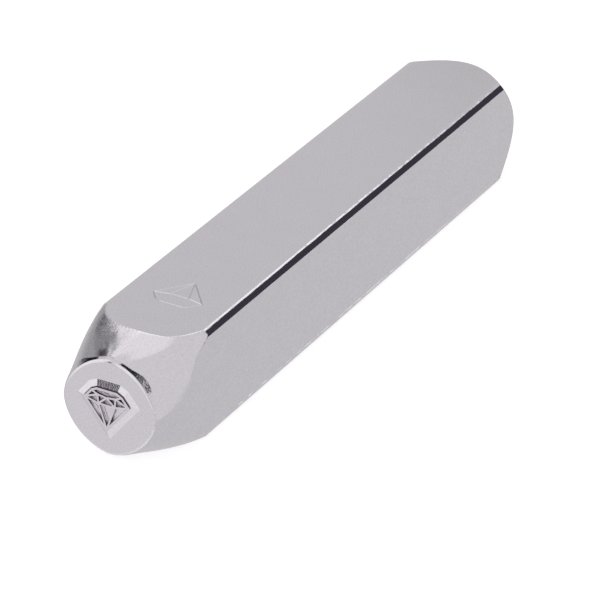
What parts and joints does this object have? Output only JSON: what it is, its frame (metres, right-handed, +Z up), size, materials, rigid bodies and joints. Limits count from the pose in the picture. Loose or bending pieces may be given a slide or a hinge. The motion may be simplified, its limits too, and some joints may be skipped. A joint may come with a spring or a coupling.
{
  "type": "metal design stamp",
  "caption": "Square steel punch with a round-to-square tapered nose, a raised faceted gem figure on its round die face and a coned struck end, lying on one flat.",
  "frame": {"origin": "under the middle of the punch, on the flat that it lies on", "axes": "+X along the punch from the die face to the struck end, +Z up from the resting flat to the marked flat"},
  "size_m": [0.0644, 0.01, 0.01],
  "materials": {
    "plated_steel": "satin bright plating over machined steel"
  },
  "bodies": {
    "root": {"design_stamp": "plated_steel"}
  },
  "joints": []
}
